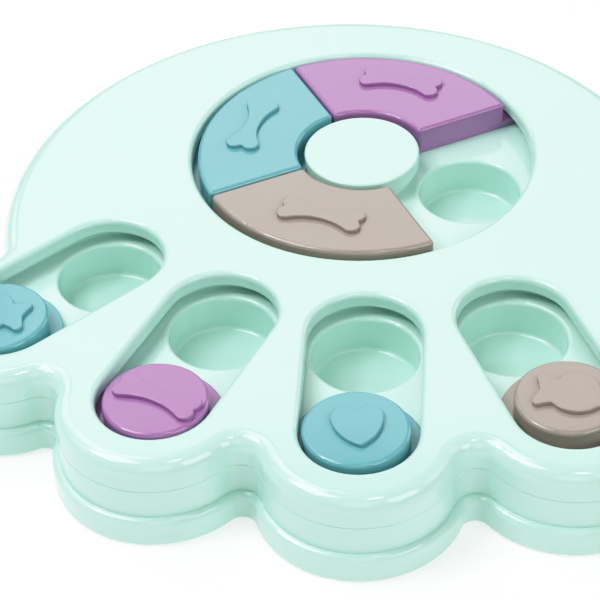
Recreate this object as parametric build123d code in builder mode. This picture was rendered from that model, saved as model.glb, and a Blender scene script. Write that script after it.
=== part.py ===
from build123d import *
from math import atan2, cos, degrees, radians, sin, sqrt
import os

os.makedirs("parts", exist_ok=True)

# A dog puzzle feeder in the shape of a paw: a round pad with a ring track of turning sector covers,
# and four toes, each with a slot in which a round puck slides off a treat well.
# Millimetres, +Z up. The origin is the middle of the outline on the surface the toy stands on,
# +Y points at the back of the pad and the toes point to -Y.
# Every sketch below is drawn about the hub axis; level(height) puts it in place.

# ---- Heights -------------------------------------------------------------------------------------
foot_lift = 0.6             # the rubber feet hold the tray's rim this far off the surface
body_height = 31.9          # tray rim to cover top
cover_share = 10.8          # cover top down to the seam between cover and tray
foot_height = 10.1          # height of the flared foot round the tray
deck_drop = 9.8             # cover top down to the deck that the loose pieces slide on
well_depth = 13.8           # depth of each treat well below the deck
flange_drop = 6.95          # cover top down to the top of the flanges of the loose pieces
lip_drop = 5.25             # cover top down to the lower edge of the turned-down lips
hub_drop = 5.25             # cover top down to the seat of the hub cap
hub_rise = 0.1              # hub cap above the cover top
sector_rise = 0.7           # sector covers above the cover top
puck_rise = 0.3             # pucks above the cover top
seat_gap = 0.3              # loose pieces above the deck

# ---- Walls ---------------------------------------------------------------------------------------
wall = 2.5                  # side walls of cover and tray
plate = 2.2                 # flat top of the cover
deck_plate = 2.2            # deck of the tray
lip = 2.0                   # turned-down lips round the openings
cup_wall = 1.8              # treat wells
rib = 1.2                   # guide ribs on the deck
loose_wall = 1.8            # shells of the sector covers and pucks
register_gap = 0.2          # deck edge inside the cover's skirt
rib_rise = 2.0              # guide ribs above the flanges of the loose pieces

# ---- Outline -------------------------------------------------------------------------------------
pad_radius = 118.6          # round pad, at the side wall
pad_centre = -32.0          # pad centre behind (+) or before (-) the hub axis
pad_valley = 8.0            # hollow between pad and first or last toe
toe_radius = 31.9           # round toe ends, at the side wall
toe_valley = 7.0            # hollow between two toes
fan_centre = 27.6           # the toe axes all run to this point behind the hub axis
fan_reach = 173.2           # that point to the centres of the toe ends
toe_angles = (-33.9, -11.2, 11.2, 33.9)     # toe axes, from straight ahead
foot_flare = 2.5            # foot outside the side wall
foot_round = 2.3            # top edge of the foot
rim_round = 0.8             # lower edge of the foot
cover_round = 5.5           # upper edge of the cover
seam_round = 0.3            # edges that meet at the seam

# ---- Openings, tracks and wells ------------------------------------------------------------------
ring_radius = 61.7          # round opening in the cover
ring_round = 2.0
slot_half_width = 19.15
slot_start = 0.85           # toe centre to the centre of the slot's outer end, inward
slot_travel = 45.6          # between the centres of a slot's two round ends
slot_round = 1.9
lip_round = 0.25            # lower edges of the lips
well_radius = 18.1
well_mouth_round = 1.4
well_floor_round = 1.4
ring_well_reach = 40.5      # hub axis to the centre of each ring well
ring_wells = 4
first_ring_well = -3.2      # angle of the ring well that lies uncovered

# ---- Hub -----------------------------------------------------------------------------------------
hub_cap_radius = 20.8
hub_cap_round = 0.8
hub_cap_hollow = 13.0       # radius of the hollow inside the cap
hub_boss_radius = 17.5
hub_tube_radius = 6.5
spigot_radius = 4.3
spigot_length = 4.0
spigot_gap = 0.1

# ---- Sector covers -------------------------------------------------------------------------------
sector_span = 89.6          # angle from one sector's side to the next one's
sector_start = 40.2         # angle of the free side of the first sector
sector_gap = 0.7            # between neighbouring sectors
sector_inner = 23.4
sector_outer = 59.5
sector_corner = 1.6         # upright corners
sector_round = 1.4          # top edges
sector_tuck_in = 4.7        # flange under the hub cap
sector_tuck_out = 4.5       # flange under the cover's lip
ring_rib_gap = 1.0          # flange to the ring rib

# ---- Pucks ---------------------------------------------------------------------------------------
knob_radius = 17.2
knob_round = 1.4
puck_flange = 4.4           # flange outside the knob
flange_round = 0.6
track_play = 1.9            # flange to the guide rib

# ---- Raised figures ------------------------------------------------------------------------------
relief = 1.6
relief_round = 0.4
figure_corner = 1.0         # least rounding of a figure's corners
bone_notch = 1.0            # hollow between the two lobes of an end
bone_waist = 2.6            # half the width in the middle
sector_bone = (12.2, 3.0, 3.1)      # half length and half spread of the lobe centres, lobe radius
puck_bone = (11.9, 2.5, 3.0)
sector_bone_places = (      # hub axis to each sector's bone, its offset anticlockwise, and its turn
    (43.6, -0.7, 90),
    (42.8, -1.0, 93.5),
    (41.7, -0.3, 90),
)

# ---- Fasteners and feet --------------------------------------------------------------------------
screw_radius = 1.5
screw_length = 14.0
screw_point = 1.5           # length of the point
screw_point_inset = 1.2     # shank to the end of the point
screw_head_radius = 2.8
screw_head_height = 2.0
screw_head_round = 0.7
recess_length = 3.4
recess_width = 0.8
recess_depth = 1.1
screw_hole_gap = 0.2        # shank in the tray's boss
pilot_gap = 0.02            # shank in the cover's boss
pilot_spare = 0.6           # pilot hole beyond the screw's point
screw_seat_drop = 8.7       # deck down to the face that a screw head bears on
tray_boss_radius = 4.5
cover_boss_radius = 3.5
toe_screw_inset = 13.5      # toe centres to the screws between the toes, inward
pad_screw_inset = 17.5      # side wall to the screws round the pad
pad_screw_angles = (8.0, 65.0, 115.0, 172.0)
rubber_foot_radius = 7.6
rubber_foot_height = 2.4
rubber_stem_radius = 5.7
rubber_stem_length = 4.0
rubber_gap = 0.1
rubber_round = 0.5
foot_inset = 11.5           # side wall to the centre of each rubber foot
pad_foot_angles = (40.0, 140.0)

# ---- Sizes worked out from the above -------------------------------------------------------------
rim_z = foot_lift
cover_top = rim_z + body_height
seam_z = cover_top - cover_share
deck_z = cover_top - deck_drop
ceiling_z = cover_top - plate
lip_z = cover_top - lip_drop
flange_z = cover_top - flange_drop
loose_z = deck_z + seat_gap
rib_z = flange_z + rib_rise
hub_seat_z = cover_top - hub_drop
screw_seat_z = deck_z - screw_seat_drop
pilot_end_z = screw_seat_z + screw_length + pilot_spare
channel_half_width = knob_radius + puck_flange + track_play
ring_rib_radius = sector_outer + sector_tuck_out + ring_rib_gap
toe_front = fan_reach * cos(radians(min(abs(angle) for angle in toe_angles))) - fan_centre
outline_front = -(toe_front + toe_radius + foot_flare)
outline_back = pad_centre + pad_radius + foot_flare
hub_y = -(outline_front + outline_back) / 2


def level(height):
    """Horizontal plane at this height, centred on the hub axis."""
    return Plane((0, hub_y, height))


def toe_place(angle, inward=0, aside=0):
    """Place on a toe axis, counted inward from the toe's centre, with x pointing inward."""
    reach = fan_reach - inward
    x = reach * sin(radians(angle)) + aside * cos(radians(angle))
    y = fan_centre - reach * cos(radians(angle)) + aside * sin(radians(angle))
    return Location((x, y, 0), (0, 0, 90 + angle))


def polar_place(radius, angle, centre_y=0):
    """Place at this angle round (0, centre_y), with x pointing outward."""
    x = radius * cos(radians(angle))
    y = centre_y + radius * sin(radians(angle))
    return Location((x, y, 0), (0, 0, angle))


def bearing(start, end):
    """Direction from one point to another, in degrees."""
    return degrees(atan2(end.Y - start.Y, end.X - start.X))


def valley_centre(start, start_radius, end, end_radius, valley):
    """Centre of the arc that touches two circles from outside, on the right of start to end."""
    line = end - start
    reach = start_radius + valley
    along = (line.length**2 + reach**2 - (end_radius + valley) ** 2) / (2 * line.length)
    across = sqrt(reach**2 - along**2)
    unit = line.normalized()
    return start + unit * along + Vector(unit.Y, -unit.X) * across


def lobed_face(centres, radii, hollows):
    """Face bounded by round lobes, anticlockwise, each joined to the next by a hollow arc."""
    count = len(centres)
    valleys = []
    for i in range(count):
        j = (i + 1) % count
        valleys.append(valley_centre(centres[i], radii[i], centres[j], radii[j], hollows[i]))
    with BuildSketch() as outline:
        with BuildLine():
            for i in range(count):
                lobe_start = bearing(centres[i], valleys[i - 1])
                lobe_end = bearing(centres[i], valleys[i])
                CenterArc(centres[i], radii[i], lobe_start, (lobe_end - lobe_start) % 360)
                dip_start = bearing(valleys[i], centres[i])
                dip_end = bearing(valleys[i], centres[(i + 1) % count])
                CenterArc(valleys[i], hollows[i], dip_start, -((dip_start - dip_end) % 360))
        make_face()
    return outline.sketch


def paw(grow):
    """Face of the paw outline, grown outward from the side wall by this much."""
    toes = [toe_place(angle).position for angle in toe_angles]
    radii = [pad_radius + grow] + [toe_radius + grow] * len(toes)
    hollows = [pad_valley - grow] + [toe_valley - grow] * (len(toes) - 1) + [pad_valley - grow]
    return lobed_face([Vector(0, pad_centre)] + toes, radii, hollows)


def slots(half_width):
    """The four toe slots, or anything that runs round them, at this half width."""
    with BuildSketch() as shape:
        with Locations(*[toe_place(angle, slot_start + slot_travel / 2) for angle in toe_angles]):
            SlotCenterToCenter(slot_travel, 2 * half_width)
    return shape.sketch


def ring_sector(inner, outer, inset):
    """Sector of a ring about +X, its sides set in by this much from the two radial lines."""
    half = radians(sector_span / 2)
    apex = inset / sin(half)
    reach = 2 * outer
    with BuildSketch() as shape:
        Circle(outer)
        Circle(inner, mode=Mode.SUBTRACT)
        with BuildLine():
            Polyline(
                (apex, 0),
                (apex + reach * cos(half), -reach * sin(half)),
                (apex + reach * cos(half), reach * sin(half)),
                close=True,
            )
        make_face(mode=Mode.INTERSECT)
    return shape.sketch


def bone(half_length, half_spread, lobe):
    """Bone lying along X: a waisted shaft with two round lobes at each end."""
    corners = ((1, 1), (-1, 1), (-1, -1), (1, -1))
    centres = [Vector(half_length * x, half_spread * y) for x, y in corners]
    sink = half_spread - bone_waist
    shaft_hollow = (half_length**2 + sink**2 - lobe**2) / (2 * (lobe + sink))
    return lobed_face(centres, [lobe] * 4, [shaft_hollow, bone_notch] * 2)


def heart():
    """Heart with its point on -X."""
    with BuildSketch() as shape:
        with BuildLine():
            lobe = ThreePointArc((4.8, 0), (8.2, 4.5), (2.6, 8.3))
            side = ThreePointArc(lobe @ 1, (-3.9, 6.1), (-9.4, 0))
            mirror(lobe, about=Plane.XZ)
            mirror(side, about=Plane.XZ)
        make_face()
        fillet(shape.vertices().filter_by_position(Axis.Y, -0.1, 0.1), figure_corner)
    return shape.sketch


def fish(back_side):
    """Plump fish along X with its head at +X and a forked tail, its back on +Y (1) or on -Y (-1)."""
    with BuildSketch() as shape:
        with BuildLine():
            ThreePointArc((9.4, -4.8), (12.4, 0), (9.4, 4.8))
            for side, hump, saddle in ((back_side, 10.2, 4.9), (-back_side, 8.2, 5.4)):
                flank = ThreePointArc((9.4, 4.8 * side), (3.0, hump * side), (-4.4, saddle * side))
                tail = ThreePointArc(flank @ 1, (-6.4, (saddle + 0.7) * side), (-8.8, 7.5 * side))
                tip = ThreePointArc(tail @ 1, (-10.6, 6.2 * side), (-10.3, 3.6 * side))
                Line(tip @ 1, (-9.2, 0))
        make_face()
        fillet(shape.vertices(), figure_corner)
    return shape.sketch


well_places = [toe_place(angle, slot_start + slot_travel) for angle in toe_angles]
for turn in range(ring_wells):
    well_places.append(polar_place(ring_well_reach, first_ring_well + turn * 360 / ring_wells))

screw_places = []
for first, second in zip(toe_angles, toe_angles[1:]):
    screw_places.append(toe_place((first + second) / 2, toe_screw_inset))
for angle in pad_screw_angles:
    screw_places.append(polar_place(pad_radius - pad_screw_inset, angle, pad_centre))

foot_places = [toe_place(angle, foot_inset - toe_radius) for angle in toe_angles]
for angle in pad_foot_angles:
    foot_places.append(polar_place(pad_radius - foot_inset, angle, pad_centre))


# ---- Base tray: side wall with its flared foot, deck, treat wells, guide ribs, hub and bosses -------
with BuildPart() as base_tray:
    with BuildSketch(level(rim_z)):
        add(paw(foot_flare))
    extrude(amount=foot_height)
    fillet(base_tray.faces().sort_by(Axis.Z)[-1].edges(), foot_round)
    fillet(base_tray.faces().sort_by(Axis.Z)[0].edges(), rim_round)
    with BuildSketch(level(rim_z)):
        add(paw(0))
    extrude(amount=seam_z - rim_z)
    fillet(base_tray.faces().sort_by(Axis.Z)[-1].edges(), seam_round)
    with BuildSketch(level(seam_z)):
        add(paw(-wall - register_gap))
    extrude(amount=deck_z - seam_z)

    # the hollow under the deck, wider inside the flared foot
    with BuildSketch(level(rim_z)):
        add(paw(foot_flare - wall))
    extrude(amount=foot_height - wall, mode=Mode.SUBTRACT)
    with BuildSketch(level(rim_z)):
        add(paw(-wall))
    extrude(amount=deck_z - deck_plate - rim_z, mode=Mode.SUBTRACT)

    # screw bosses, tubes for the rubber feet and the outside of the wells hang from the deck
    with BuildSketch(level(screw_seat_z)):
        with Locations(*screw_places):
            Circle(tray_boss_radius)
        Circle(hub_tube_radius)
    extrude(amount=deck_z - screw_seat_z)
    with BuildSketch(level(rubber_foot_height)):
        with Locations(*foot_places):
            Circle(rubber_foot_radius)
            Circle(rubber_stem_radius + rubber_gap, mode=Mode.SUBTRACT)
    extrude(amount=deck_z - rubber_foot_height)
    with BuildSketch(level(deck_z - well_depth - cup_wall)):
        with Locations(*well_places):
            Circle(well_radius + cup_wall)
    extrude(amount=well_depth + cup_wall)

    # guide ribs on the deck
    with BuildSketch(level(deck_z)):
        Circle(ring_rib_radius + rib)
        Circle(ring_rib_radius, mode=Mode.SUBTRACT)
        add(slots(channel_half_width + rib))
        add(slots(channel_half_width), mode=Mode.SUBTRACT)
    extrude(amount=rib_z - deck_z)

    # hub boss, hollow from below round its tube
    with BuildSketch(level(deck_z)):
        Circle(hub_boss_radius)
    extrude(amount=hub_seat_z - deck_z)
    with BuildSketch(level(deck_z - deck_plate)):
        Circle(hub_boss_radius - cup_wall)
        Circle(hub_tube_radius, mode=Mode.SUBTRACT)
    extrude(amount=hub_seat_z - deck_z, mode=Mode.SUBTRACT)

    # treat wells
    with BuildSketch(level(deck_z)):
        with Locations(*well_places):
            Circle(well_radius)
    extrude(amount=-well_depth, mode=Mode.SUBTRACT)
    well_floors = base_tray.faces().filter_by_position(Axis.Z, deck_z - well_depth, deck_z - well_depth)
    fillet(well_floors.edges(), well_floor_round)
    rims = base_tray.edges().filter_by(GeomType.CIRCLE).filter_by_position(Axis.Z, deck_z, deck_z)
    fillet(rims.filter_by(lambda edge: abs(edge.radius - well_radius) < cup_wall / 2), well_mouth_round)
    cup_floors = base_tray.faces().filter_by_position(
        Axis.Z, deck_z - well_depth - cup_wall, deck_z - well_depth - cup_wall
    )
    fillet(cup_floors.edges(), well_floor_round)

    # screw holes and the bore for the hub cap's spigot
    with BuildSketch(level(screw_seat_z)):
        with Locations(*screw_places, Location((0, 0, 0))):
            Circle(screw_radius + screw_hole_gap)
    extrude(amount=hub_seat_z - screw_seat_z, mode=Mode.SUBTRACT)
    with BuildSketch(level(hub_seat_z)):
        Circle(spigot_radius + spigot_gap)
    extrude(amount=-(spigot_length + seat_gap), mode=Mode.SUBTRACT)
base_tray.part.label = "base_tray"
export_step(base_tray.part, "parts/base_tray.step")


# ---- Top cover: plate with a rounded edge and skirt, lips round its openings, screw bosses ----------
with BuildPart() as top_cover:
    with BuildSketch(level(seam_z)):
        add(paw(0))
    extrude(amount=cover_top - seam_z)
    fillet(top_cover.faces().sort_by(Axis.Z)[-1].edges(), cover_round)
    fillet(top_cover.faces().sort_by(Axis.Z)[0].edges(), seam_round)
    with BuildSketch(level(seam_z)):
        add(paw(-wall))
    extrude(amount=ceiling_z - seam_z, mode=Mode.SUBTRACT)
    fillet(top_cover.edges().filter_by_position(Axis.Z, ceiling_z, ceiling_z), cover_round - wall)

    with BuildSketch(level(lip_z)):
        Circle(ring_radius + lip)
        add(slots(slot_half_width + lip))
    extrude(amount=ceiling_z - lip_z)
    with BuildSketch(level(lip_z)):
        Circle(ring_radius)
        add(slots(slot_half_width))
    extrude(amount=lip_drop, mode=Mode.SUBTRACT)
    openings = top_cover.faces().sort_by(Axis.Z)[-1].inner_wires().sort_by(Axis.Y)
    fillet(openings[-1].edges(), ring_round)
    openings = top_cover.faces().sort_by(Axis.Z)[-1].inner_wires().sort_by(Axis.Y)
    fillet([edge for wire in openings[:-1] for edge in wire.edges()], slot_round)
    lip_faces = top_cover.faces().filter_by_position(Axis.Z, lip_z, lip_z)
    fillet(lip_faces.edges(), lip_round)

    with BuildSketch(level(deck_z)):
        with Locations(*screw_places):
            Circle(cover_boss_radius)
    extrude(amount=ceiling_z - deck_z)
    with BuildSketch(level(deck_z)):
        with Locations(*screw_places):
            Circle(screw_radius + pilot_gap)
    extrude(amount=pilot_end_z - deck_z, mode=Mode.SUBTRACT)
top_cover.part.label = "top_cover"
export_step(top_cover.part, "parts/top_cover.step")


# ---- Hub cap: a round button on the hub boss, its spigot in the boss --------------------------------
with BuildPart() as hub_cap:
    with BuildSketch(level(hub_seat_z)):
        Circle(hub_cap_radius)
    extrude(amount=cover_top + hub_rise - hub_seat_z)
    fillet(hub_cap.faces().sort_by(Axis.Z)[-1].edges(), hub_cap_round)
    with BuildSketch(level(hub_seat_z)):
        Circle(hub_cap_hollow)
    extrude(amount=ceiling_z - hub_seat_z, mode=Mode.SUBTRACT)
    with BuildSketch(level(hub_seat_z - spigot_length)):
        Circle(spigot_radius)
    extrude(amount=ceiling_z - hub_seat_z + spigot_length)
    with BuildSketch(level(hub_seat_z - spigot_length)):
        Circle(screw_radius + pilot_gap)
    extrude(amount=pilot_end_z - hub_seat_z + spigot_length, mode=Mode.SUBTRACT)
hub_cap.part.label = "hub_cap"
export_step(hub_cap.part, "parts/hub_cap.step")


# ---- Sector covers: hollow shells that turn round the hub on the deck -------------------------------
def make_sector(name, order):
    """Sector cover number order, counted anticlockwise from the free quadrant, with a bone on top."""
    middle = sector_start + (order + 0.5) * sector_span
    reach, aside, turn = sector_bone_places[order]
    sector_top = cover_top + sector_rise
    with BuildPart() as sector:
        with BuildSketch(level(loose_z).rotated((0, 0, middle))):
            add(ring_sector(sector_inner, sector_outer, sector_gap / 2))
        extrude(amount=sector_top - loose_z)
        fillet(sector.edges().filter_by(Axis.Z), sector_corner)
        fillet(sector.faces().sort_by(Axis.Z)[-1].edges(), sector_round)
        with BuildSketch(level(loose_z).rotated((0, 0, middle))):
            add(ring_sector(sector_inner - sector_tuck_in, sector_outer + sector_tuck_out, sector_gap / 2))
        extrude(amount=flange_z - loose_z)
        with BuildSketch(level(loose_z).rotated((0, 0, middle))):
            inner, outer = sector_inner + loose_wall, sector_outer - loose_wall
            add(ring_sector(inner, outer, sector_gap / 2 + loose_wall))
        extrude(amount=sector_top - loose_wall - loose_z, mode=Mode.SUBTRACT)
        with BuildSketch(level(sector_top).rotated((0, 0, middle))):
            with Locations(Location((reach, aside, 0), (0, 0, turn))):
                add(bone(*sector_bone))
        extrude(amount=relief)
        fillet(sector.faces().sort_by(Axis.Z)[-1].edges(), relief_round)
    sector.part.label = name
    export_step(sector.part, f"parts/{name}.step")


for order, name in enumerate(("purple_sector_cover", "blue_sector_cover", "taupe_sector_cover")):
    make_sector(name, order)


# ---- Pucks: hollow round knobs that slide in the toe slots, held down by their flanges --------------
def make_puck(name, angle, inward, aside, figure, shift, turn):
    """Puck on the toe at this angle, resting this far inward and aside.

    The figure on its top is shifted this far in its own X and Y and then turned about Z.
    """
    place = toe_place(angle, inward, aside).position
    knob_top = cover_top + puck_rise
    with BuildPart() as puck:
        with BuildSketch(level(loose_z)):
            with Locations(place):
                Circle(knob_radius + puck_flange)
        extrude(amount=flange_z - loose_z)
        fillet(puck.faces().sort_by(Axis.Z)[-1].edges(), flange_round)
        with BuildSketch(level(loose_z)):
            with Locations(place):
                Circle(knob_radius)
        extrude(amount=knob_top - loose_z)
        fillet(puck.faces().sort_by(Axis.Z)[-1].edges(), knob_round)
        with BuildSketch(level(loose_z)):
            with Locations(place):
                Circle(knob_radius - loose_wall)
        extrude(amount=knob_top - loose_wall - loose_z, mode=Mode.SUBTRACT)
        with BuildSketch(level(knob_top)):
            with Locations(Location(place, (0, 0, turn)) * Location(shift)):
                add(figure)
        extrude(amount=relief)
        fillet(puck.faces().sort_by(Axis.Z)[-1].edges(), relief_round)
    puck.part.label = name
    export_step(puck.part, f"parts/{name}.step")


make_puck("blue_fish_puck", toe_angles[0], -0.1, -0.1, fish(-1), (0, 0), 182)
make_puck("purple_bone_puck", toe_angles[1], -0.3, 1.1, bone(*puck_bone), (0.6, 0), -15)
make_puck("blue_heart_puck", toe_angles[2], 1.0, -0.8, heart(), (0, -0.6), 110)
make_puck("taupe_fish_puck", toe_angles[3], 4.4, 0.3, fish(1), (0, 0), 1)


# ---- Screws: pan heads with a cross recess, driven up from below ------------------------------------
def make_screw(name, place):
    """Screw standing point up at this place, its head against the boss above it."""
    with BuildPart() as screw:
        with BuildSketch(level(screw_seat_z)):
            with Locations(place.position):
                Circle(screw_head_radius)
        extrude(amount=-screw_head_height)
        fillet(screw.faces().sort_by(Axis.Z)[0].edges(), screw_head_round)
        with BuildSketch(level(screw_seat_z - screw_head_height)):
            with Locations(place.position):
                Rectangle(recess_length, recess_width)
                Rectangle(recess_width, recess_length)
        extrude(amount=recess_depth, mode=Mode.SUBTRACT)
        with BuildSketch(level(screw_seat_z)):
            with Locations(place.position):
                Circle(screw_radius)
        extrude(amount=screw_length)
        chamfer(screw.faces().sort_by(Axis.Z)[-1].edges(), screw_point, screw_point_inset)
    screw.part.label = name
    export_step(screw.part, f"parts/{name}.step")


for number, place in enumerate(screw_places, start=1):
    make_screw(f"cover_screw_{number}", place)
make_screw("hub_screw", Location((0, 0, 0)))


# ---- Rubber feet, each with a stem pushed into its tube ---------------------------------------------
for number, place in enumerate(foot_places, start=1):
    with BuildPart() as rubber_foot:
        with BuildSketch(level(0)):
            with Locations(place.position):
                Circle(rubber_foot_radius)
        extrude(amount=rubber_foot_height)
        fillet(rubber_foot.faces().sort_by(Axis.Z)[0].edges(), rubber_round)
        with BuildSketch(level(rubber_foot_height)):
            with Locations(place.position):
                Circle(rubber_stem_radius)
        extrude(amount=rubber_stem_length)
    rubber_foot.part.label = f"rubber_foot_{number}"
    export_step(rubber_foot.part, f"parts/rubber_foot_{number}.step")
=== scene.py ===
from math import cos, pi, radians, sin

import bpy
import numpy as np
from mathutils import Matrix, Vector

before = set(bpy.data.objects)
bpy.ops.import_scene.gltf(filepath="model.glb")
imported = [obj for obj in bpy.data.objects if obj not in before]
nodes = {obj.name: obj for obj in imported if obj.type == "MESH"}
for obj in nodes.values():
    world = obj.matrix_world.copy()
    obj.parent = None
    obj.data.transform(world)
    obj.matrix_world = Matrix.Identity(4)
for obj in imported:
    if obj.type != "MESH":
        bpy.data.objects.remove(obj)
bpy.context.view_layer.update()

# A dog puzzle feeder in the shape of a paw. Metres, +Z up, the toes point to -Y.
MM = 0.001
noise_low, noise_high = 0.3, 0.7    # most values of a noise texture lie between these two


# ---- Colours and nodes ------------------------------------------------------------------------------
def linear(colour):
    """Linear RGBA, opaque, of an sRGB hex colour such as "c8eee2"."""
    srgb = np.array([int(colour[i:i + 2], 16) for i in (0, 2, 4)]) / 255
    rgb = np.where(srgb <= 0.04045, srgb / 12.92, ((srgb + 0.055) / 1.055) ** 2.4)
    return (*rgb, 1.0)


def add_node(tree, kind, links=None, **settings):
    """Node of this kind with its settings; links maps its inputs to output sockets or to plain values."""
    node = tree.nodes.new(kind)
    for name, value in settings.items():
        setattr(node, name, value)
    for name, value in (links or {}).items():
        if isinstance(value, bpy.types.NodeSocket):
            tree.links.new(value, node.inputs[name])
        else:
            node.inputs[name].default_value = value
    return node


def new_material(name):
    """Material of this name, and its node tree, which is empty."""
    material = bpy.data.materials.new(name)
    material.use_nodes = True
    material.node_tree.nodes.clear()
    return material, material.node_tree


def dress(material, *names):
    """Gives these CAD nodes this material."""
    for name in names:
        mesh = nodes[name].data
        mesh.materials.clear()
        mesh.materials.append(material)


# ---- Materials --------------------------------------------------------------------------------------
def moulded_abs(name, colour, deep_colour):
    """Injection-moulded ABS from a polished mould.

    An opaque body under a glossy skin: crisp highlights that waver a little where the plastic shrank,
    a faint change of tone from flow in the mould, and a polish that handling has left a little uneven.
    """
    flow_size, shrink_size, handling_size = 30 * MM, 9 * MM, 1.2 * MM
    shrink_depth = 0.04 * MM
    glossiest, dullest = 0.08, 0.14
    ior = 1.56                      # a touch above plain ABS, for its hard skin
    material, tree = new_material(name)
    place = add_node(tree, "ShaderNodeTexCoord").outputs["Object"]
    flow = add_node(tree, "ShaderNodeTexNoise", {"Vector": place, "Scale": 1 / flow_size, "Detail": 2.0})
    tone = add_node(tree, "ShaderNodeMix", {
        "Factor": flow.outputs["Fac"], "A": linear(colour), "B": linear(deep_colour),
    }, data_type="RGBA")
    shrink = add_node(tree, "ShaderNodeTexNoise", {
        "Vector": place, "Scale": 1 / shrink_size, "Detail": 1.0,
    })
    ripple = add_node(tree, "ShaderNodeBump", {
        "Height": shrink.outputs["Fac"], "Distance": shrink_depth, "Strength": 0.6,
    })
    handling = add_node(tree, "ShaderNodeTexNoise", {
        "Vector": place, "Scale": 1 / handling_size, "Detail": 3.0, "Roughness": 0.6,
    })
    polish = add_node(tree, "ShaderNodeMapRange", {
        "Value": handling.outputs["Fac"], "From Min": noise_low, "From Max": noise_high,
        "To Min": glossiest, "To Max": dullest,
    })
    shader = add_node(tree, "ShaderNodeBsdfPrincipled", {
        "Base Color": tone.outputs["Result"], "Roughness": polish.outputs["Result"], "IOR": ior,
        "Normal": ripple.outputs["Normal"],
    })
    add_node(tree, "ShaderNodeOutputMaterial", {"Surface": shader.outputs["BSDF"]})
    return material


def zinc_plated_steel():
    """Zinc-plated steel of the screws: a bright grey metal, dulled by the plating's grain."""
    grain_size = 0.6 * MM           # the real grain is finer; this one is coarse enough to show
    brightest, dullest = 0.26, 0.42
    material, tree = new_material("zinc_plated_steel")
    place = add_node(tree, "ShaderNodeTexCoord").outputs["Object"]
    grain = add_node(tree, "ShaderNodeTexNoise", {"Vector": place, "Scale": 1 / grain_size, "Detail": 2.0})
    plating = add_node(tree, "ShaderNodeMapRange", {
        "Value": grain.outputs["Fac"], "From Min": noise_low, "From Max": noise_high,
        "To Min": brightest, "To Max": dullest,
    })
    shader = add_node(tree, "ShaderNodeBsdfPrincipled", {
        "Base Color": linear("c3c6ca"), "Metallic": 1.0, "Roughness": plating.outputs["Result"],
    })
    add_node(tree, "ShaderNodeOutputMaterial", {"Surface": shader.outputs["BSDF"]})
    return material


def foot_rubber():
    """Moulded thermoplastic rubber of the feet: matt grey with a fine stipple, so nothing shines."""
    stipple_size, stipple_depth = 0.5 * MM, 0.05 * MM
    material, tree = new_material("thermoplastic_rubber")
    place = add_node(tree, "ShaderNodeTexCoord").outputs["Object"]
    stipple = add_node(tree, "ShaderNodeTexNoise", {
        "Vector": place, "Scale": 1 / stipple_size, "Detail": 2.0,
    })
    grip = add_node(tree, "ShaderNodeBump", {
        "Height": stipple.outputs["Fac"], "Distance": stipple_depth, "Strength": 0.8,
    })
    shader = add_node(tree, "ShaderNodeBsdfPrincipled", {
        "Base Color": linear("8d9391"), "Roughness": 0.75, "Normal": grip.outputs["Normal"],
    })
    add_node(tree, "ShaderNodeOutputMaterial", {"Surface": shader.outputs["BSDF"]})
    return material


dress(moulded_abs("mint_abs", "bfe6db", "bbe4d7"), "base_tray", "top_cover", "hub_cap")
dress(moulded_abs("purple_abs", "a375a8", "9f71a3"), "purple_sector_cover", "purple_bone_puck")
dress(moulded_abs("blue_abs", "6eacb4", "69a7af"), "blue_sector_cover", "blue_fish_puck", "blue_heart_puck")
dress(moulded_abs("taupe_abs", "9f958c", "9b9087"), "taupe_sector_cover", "taupe_fish_puck")
dress(zinc_plated_steel(), *[name for name in nodes if "screw" in name])
dress(foot_rubber(), *[name for name in nodes if "rubber_foot" in name])


# ---- Floor, lights and camera -----------------------------------------------------------------------
def make_floor(reach, glow):
    """Flat white paper, this far each way. Its glow lifts it to white and leaves only soft shadows."""
    corners = [(-reach, -reach, 0), (reach, -reach, 0), (reach, reach, 0), (-reach, reach, 0)]
    mesh = bpy.data.meshes.new("studio_floor")
    mesh.from_pydata(corners, [], [(0, 1, 2, 3)])
    floor = bpy.data.objects.new("studio_floor", mesh)
    bpy.context.scene.collection.objects.link(floor)
    material, tree = new_material("white_paper")
    shader = add_node(tree, "ShaderNodeBsdfPrincipled", {
        "Base Color": linear("dcdcdc"), "Roughness": 0.9, "Specular IOR Level": 0.0,
        "Emission Color": linear("ffffff"), "Emission Strength": glow,
    })
    add_node(tree, "ShaderNodeOutputMaterial", {"Surface": shader.outputs["BSDF"]})
    mesh.materials.append(material)


def make_sky(brightness):
    """Even white light from all round."""
    world = bpy.data.worlds.new("studio")
    world.use_nodes = True
    background = world.node_tree.nodes["Background"]
    background.inputs["Color"].default_value = linear("ffffff")
    background.inputs["Strength"].default_value = brightness
    bpy.context.scene.world = world


def direction(azimuth, elevation):
    """Unit vector towards this azimuth and elevation; azimuth 0 is -Y and 90 is +X, in degrees."""
    a, e = radians(azimuth), radians(elevation)
    return Vector((sin(a) * cos(e), -cos(a) * cos(e), sin(e)))


def add_soft_box(name, azimuth, elevation, brightness, size, distance):
    """Square soft box in this direction from the toy, facing it; its brightness is power for its area."""
    light = bpy.data.lights.new(name, "AREA")
    light.shape = "SQUARE"
    light.size = size
    light.energy = brightness * pi * size ** 2
    box = bpy.data.objects.new(name, light)
    back = direction(azimuth, elevation)
    box.location = back * distance
    box.rotation_mode = "QUATERNION"
    box.rotation_quaternion = back.to_track_quat("Z", "Y")
    bpy.context.scene.collection.objects.link(box)


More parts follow.
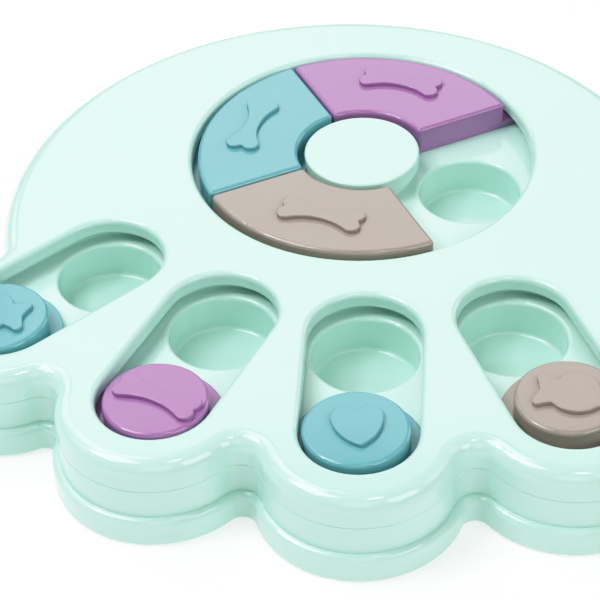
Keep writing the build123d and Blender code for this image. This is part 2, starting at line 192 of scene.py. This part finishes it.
def make_camera(aim, azimuth, elevation, distance, roll, lens):
    """Camera in this direction from aim, looking at it and turned anticlockwise by roll.

    The lens is its focal length in millimetres on a sensor 36 mm wide.
    """
    camera = bpy.data.cameras.new("camera")
    camera.sensor_width = 36
    camera.lens = lens
    holder = bpy.data.objects.new("camera", camera)
    back = direction(azimuth, elevation)
    turn = back.to_track_quat("Z", "Y").to_matrix().to_4x4() @ Matrix.Rotation(radians(roll), 4, "Z")
    holder.matrix_world = Matrix.Translation(aim + back * distance) @ turn
    bpy.context.scene.collection.objects.link(holder)
    bpy.context.scene.camera = holder


def set_tone_curve(white, points):
    """A camera's tone curve over the standard view: a slight toe, then straight, then a soft shoulder.

    Each point is the light in the scene and the light that is shown for it; white shows as 1.
    """
    view = bpy.context.scene.view_settings
    view.view_transform = "Standard"
    view.use_curve_mapping = True
    view.curve_mapping.white_level = (white, white, white)
    all_channels = view.curve_mapping.curves[3]
    for light, shown in points:
        all_channels.points.new(light / white, shown)
    view.curve_mapping.update()


make_floor(reach=3.0, glow=0.46)
make_sky(brightness=0.05)

# Large soft boxes all round give the plastic its broad, even shading.
for name, azimuth, elevation, brightness in (
    ("key_softbox", -60, 62, 6.4),
    ("left_back_softbox", -120, 62, 3.8),
    ("left_softbox", -75, 35, 1.1),
    ("low_left_softbox", -120, 35, 2.2),
    ("back_softbox", -165, 35, 2.1),
    ("front_softbox", 15, 35, 1.5),
    ("right_softbox", 60, 35, 4.4),
    ("right_side_softbox", 105, 35, 1.9),
    ("low_back_softbox", 135, 12, 3.2),
):
    add_soft_box(name, azimuth, elevation, brightness, size=0.75, distance=1.6)

# Small, brighter ones give the rims their crisp highlights.
for name, azimuth, elevation, brightness in (
    ("small_front_softbox", 40, 68, 12.0),
    ("small_left_softbox", -66, 52, 20.0),
):
    add_soft_box(name, azimuth, elevation, brightness, size=0.2, distance=1.4)

make_camera(
    aim=Vector((-0.3, -42.0, 32.5)) * MM, azimuth=16.42, elevation=40.32, distance=721.5 * MM,
    roll=-2.285, lens=129.81,
)
set_tone_curve(white=1.4, points=(
    (0.1, 0.08), (0.2, 0.177), (0.3, 0.284), (0.45, 0.443), (0.6, 0.594),
    (0.74, 0.72), (0.88, 0.825), (1.1, 0.935), (1.25, 0.98),
))
